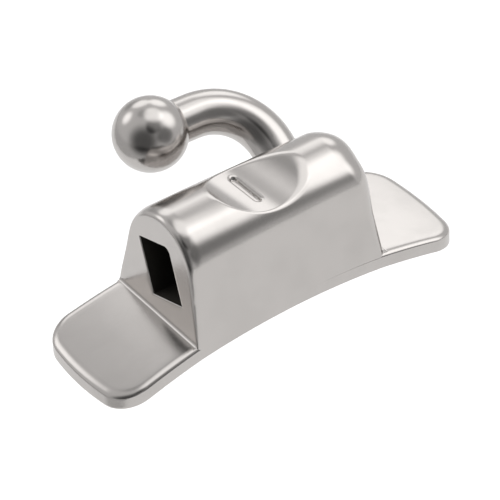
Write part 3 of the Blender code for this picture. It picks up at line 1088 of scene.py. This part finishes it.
def steel_material(finish):
    """Polished cast steel: faint clouds in its colour and polish, fine polishing marks and a soft grain."""
    material = bpy.data.materials.new("polished_steel")
    shader = Shader(material)
    surface = shader.nodes["Principled BSDF"]
    place = shader.node("ShaderNodeTexCoord", {}, {}, "Object")
    clouds = shader.noise(place, 1900.0, 4.0, 0.55)
    grain = shader.noise(place, 26000.0, 3.0, 0.6)
    stretch = shader.node("ShaderNodeMapping", {}, {"Vector": place, "Scale": (1500.0, 16000.0, 16000.0)})
    marks = shader.noise(stretch, 1.0, 4.0)
    worn = clouds.soft_step(0.40, 0.70) * 0.6 + grain * 0.1
    colour = shader.mix_colours(worn, (*finish.colour, 1.0), (*finish.worn_colour, 1.0))
    roughness = finish.roughness + (clouds - 0.5) * 0.05 + (grain - 0.5) * 0.035 + (marks - 0.5) * 0.03
    relief = {"Strength": finish.grain, "Distance": GRAIN_DEPTH, "Height": grain * 0.7 + marks * 0.3}
    bump = shader.node("ShaderNodeBump", {}, relief)
    shader.put(surface.inputs["Base Color"], colour)
    shader.put(surface.inputs["Roughness"], roughness)
    shader.put(surface.inputs["Normal"], bump)
    surface.inputs["Metallic"].default_value = 1.0
    return material


def bore_shade_material(finish):
    """The slot's unpolished walls: rough cast steel with a few brighter specks, whose near-black colour is
    painted shade inside the slot.
    """
    material = bpy.data.materials.new("bore_painted_shade")
    shader = Shader(material)
    surface = shader.nodes["Principled BSDF"]
    place = shader.node("ShaderNodeTexCoord", {}, {}, "Object")
    specks = shader.noise(place, 30000.0, 2.0).soft_step(0.66, 0.74)
    clouds = shader.noise(place, 6000.0, 3.0)
    # Near-black base colour: painted shade inside the slot, with random brighter specks.
    colour = shader.mix_colours(specks, (*finish.bore_shade_colour, 1.0), BORE_SPECKS)
    bump = shader.node("ShaderNodeBump", {}, {"Strength": 0.3, "Distance": BORE_DEPTH, "Height": clouds})
    shader.put(surface.inputs["Base Color"], colour)
    shader.put(surface.inputs["Roughness"], clouds * 0.25 + 0.55)
    shader.put(surface.inputs["Normal"], bump)
    surface.inputs["Metallic"].default_value = 0.6
    surface.inputs["Specular IOR Level"].default_value = 0.2
    return material


def find_material(name, maker, finish):
    """A material by name, made the first time it is asked for."""
    return bpy.data.materials.get(name) or maker(finish)


class BUCCAL_OT_tube(bpy.types.Operator):
    """Builds the tube with its slot, thumb dish and scribed bar"""

    bl_idname = "buccal.tube"
    bl_label = "Tube"

    def execute(self, context):
        size = context.scene.buccal_body
        finish = context.scene.buccal_finish
        materials = [
            find_material("polished_steel", steel_material, finish),
            find_material("bore_painted_shade", bore_shade_material, finish),
        ]
        finish_piece(mesh_from_grid("tube_casting", [tube_grid(size)], [(True, True)], materials))
        return {"FINISHED"}


class BUCCAL_OT_base(bpy.types.Operator):
    """Builds the arched base and the fillets at the tube's roots"""

    bl_idname = "buccal.base"
    bl_label = "Base"

    def execute(self, context):
        size = context.scene.buccal_body
        finish = context.scene.buccal_finish
        materials = [find_material("polished_steel", steel_material, finish)]
        surfaces = (base_grid(size), fillet_grid(size, -1.0), fillet_grid(size, 1.0))
        grids = [(surface, None) for surface in surfaces]
        wraps = [(False, True)] * len(grids)
        finish_piece(mesh_from_grid("base_casting", grids, wraps, materials))
        return {"FINISHED"}


class BUCCAL_OT_hook(bpy.types.Operator):
    """Builds the hook's wire and ball"""

    bl_idname = "buccal.hook"
    bl_label = "Ball hook"

    def execute(self, context):
        size = context.scene.buccal_body
        hook = context.scene.buccal_hook
        finish = context.scene.buccal_finish
        materials = [find_material("polished_steel", steel_material, finish)]
        grids = [(hook_grid(hook, size), None)]
        finish_piece(mesh_from_grid("ball_hook", grids, [(False, True)], materials))
        return {"FINISHED"}


WHITE = (1.0, 1.0, 1.0, 1.0)

# Soft lights and dark cards of the studio, by the direction they stand in: azimuth from +X towards +Y,
# height, the angle out to their edge, how wide that edge is, and how much light they add or take away.
LIGHTS = (
    ("right_key", -25.0, 41.0, 29.0, 22.0, 1.20),
    ("back_right", 40.0, 31.0, 18.0, 8.0, 1.00),
    ("back", 74.0, 32.0, 18.0, 7.0, 0.88),
    ("back_left", 120.0, 28.0, 18.0, 13.0, 1.05),
    ("overhead", -2.0, 78.0, 28.0, 9.0, 0.75),
    ("left_card", -144.0, 14.0, 56.0, 40.0, -0.58),
    ("top_card", -103.0, 58.0, 25.0, 8.0, -0.40),
    ("dish_card", 108.0, 69.0, 17.0, 12.0, -0.26),
    ("front_card", -74.0, 20.0, 30.0, 16.0, -0.48),
    ("back_card", 82.0, 13.0, 16.0, 9.0, -0.25),
)
SKY = 0.69
GROUND = 0.55
HORIZON = (-0.18, -0.02)
DARKEST = 0.03
FLOOR_SEEN_GLOW = 0.25

# The camera that took the photograph: where it stands, where its axes point, and its lens.
CAMERA_PLACE = (-19.659, -29.330, 28.605)
CAMERA_RIGHT = (0.8141, -0.5795, -0.0364)
CAMERA_UP = (0.3826, 0.4881, 0.7844)
CAMERA_LENS = 275.9


def add_floor(look):
    """A plain pale floor, one square."""
    half = 0.5 * look.floor_size
    start = -look.floor_start
    end = start + look.floor_size
    z = -look.floor_drop
    mesh = bpy.data.meshes.new("floor")
    corners = [(start, -half, z), (end, -half, z), (end, half, z), (start, half, z)]
    mesh.from_pydata(corners, [], [(0, 1, 2, 3)])
    floor = bpy.data.objects.new("floor", mesh)
    bpy.context.scene.collection.objects.link(floor)
    mesh.materials.append(floor_material(look))
    return floor


def floor_material(look):
    """Pale floor with faint clouds: it glows a little, and more where the camera sees it."""
    material = bpy.data.materials.new("pale_floor")
    shader = Shader(material)
    surface = shader.nodes["Principled BSDF"]
    place = shader.node("ShaderNodeTexCoord", {}, {}, "Object")
    clouds = shader.noise(place, 40.0, 2.0)
    colour = shader.mix_colours(clouds * 0.02, (*look.floor_colour, 1.0), WHITE)
    shader.put(surface.inputs["Base Color"], colour)
    surface.inputs["Roughness"].default_value = 0.9
    surface.inputs["Specular IOR Level"].default_value = 0.0
    seen = shader.node("ShaderNodeLightPath", {}, {}, "Is Camera Ray")
    glow = (look.floor_glow,) * 3 + (1.0,)
    bright = (look.floor_glow + FLOOR_SEEN_GLOW,) * 3 + (1.0,)
    shader.put(surface.inputs["Emission Color"], shader.mix_colours(seen, glow, bright))
    surface.inputs["Emission Strength"].default_value = 1.0
    return material


def light_world():
    """The studio: a pale sky with soft round lights in it. The camera itself sees plain white behind all."""
    world = bpy.data.worlds.new("studio")
    bpy.context.scene.world = world
    shader = Shader(world)
    background = shader.nodes["Background"]
    heading = shader.node("ShaderNodeTexCoord", {}, {}, "Generated")
    height = heading.dot((0.0, 0.0, 1.0))
    glow = GROUND + (SKY - GROUND) * height.soft_step(*HORIZON)
    for _, azimuth, rise, reach, edge, power in LIGHTS:
        turn = np.radians(azimuth)
        up = np.radians(rise)
        centre = (float(np.cos(turn) * np.cos(up)), float(np.sin(turn) * np.cos(up)), float(np.sin(up)))
        inner = float(np.cos(np.radians(reach - edge)))
        outer = float(np.cos(np.radians(reach)))
        glow = glow + heading.dot(centre).soft_step(outer, inner) * power
    glow = glow.maths("MAXIMUM", glow, DARKEST)
    seen = shader.node("ShaderNodeLightPath", {}, {}, "Is Camera Ray")
    shader.put(background.inputs["Strength"], glow * (1.0 - seen) + seen)
    background.inputs["Color"].default_value = WHITE


def add_camera():
    """The camera at the photograph's viewing angle."""
    data = bpy.data.cameras.new("camera")
    data.lens = CAMERA_LENS
    data.sensor_width = 36.0
    data.sensor_fit = "HORIZONTAL"
    data.clip_start = 0.001
    camera = bpy.data.objects.new("camera", data)
    bpy.context.scene.collection.objects.link(camera)
    right = unit(np.array(CAMERA_RIGHT))
    up = np.array(CAMERA_UP)
    up = unit(up - right * (up @ right))
    back = np.cross(right, up)
    turn = Matrix((right.tolist(), up.tolist(), back.tolist())).transposed().to_4x4()
    camera.matrix_world = Matrix.Translation(np.array(CAMERA_PLACE) * MM) @ turn
    bpy.context.scene.camera = camera
    return camera


class BUCCAL_OT_stage(bpy.types.Operator):
    """Builds the floor, the studio light and the camera"""

    bl_idname = "buccal.stage"
    bl_label = "Stage"

    def execute(self, context):
        add_floor(context.scene.buccal_stage)
        light_world()
        add_camera()
        view = context.scene.view_settings
        view.view_transform = "Standard"
        view.look = "None"
        return {"FINISHED"}


class BUCCAL_PT_panel(bpy.types.Panel):
    """Lists the sizes, the finish and the operators in the sidebar"""

    bl_label = "Buccal Tube"
    bl_idname = "BUCCAL_PT_panel"
    bl_space_type = "VIEW_3D"
    bl_region_type = "UI"
    bl_category = "Buccal Tube"

    def draw(self, context):
        layout = self.layout
        for group in GROUPS:
            settings = getattr(context.scene, group)
            box = layout.box()
            for name in settings.bl_rna.properties.keys():
                if name not in ("rna_type", "name"):
                    box.prop(settings, name)
        for operator in OPERATORS:
            layout.operator(operator.bl_idname)


GROUPS = {
    "buccal_body": BodySizes,
    "buccal_hook": HookSizes,
    "buccal_finish": SteelFinish,
    "buccal_stage": StageLook,
}
OPERATORS = (BUCCAL_OT_tube, BUCCAL_OT_base, BUCCAL_OT_hook, BUCCAL_OT_stage)


def register():
    for name, group in GROUPS.items():
        bpy.utils.register_class(group)
        setattr(bpy.types.Scene, name, PointerProperty(type=group))
    for operator in OPERATORS:
        bpy.utils.register_class(operator)
    bpy.utils.register_class(BUCCAL_PT_panel)


def unregister():
    bpy.utils.unregister_class(BUCCAL_PT_panel)
    for operator in reversed(OPERATORS):
        bpy.utils.unregister_class(operator)
    for name, group in reversed(GROUPS.items()):
        delattr(bpy.types.Scene, name)
        bpy.utils.unregister_class(group)


def main():
    """Builds the tube, base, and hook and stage."""
    register()
    bpy.ops.buccal.tube()
    bpy.ops.buccal.base()
    bpy.ops.buccal.hook()
    bpy.ops.buccal.stage()


if __name__ == "__main__":
    main()
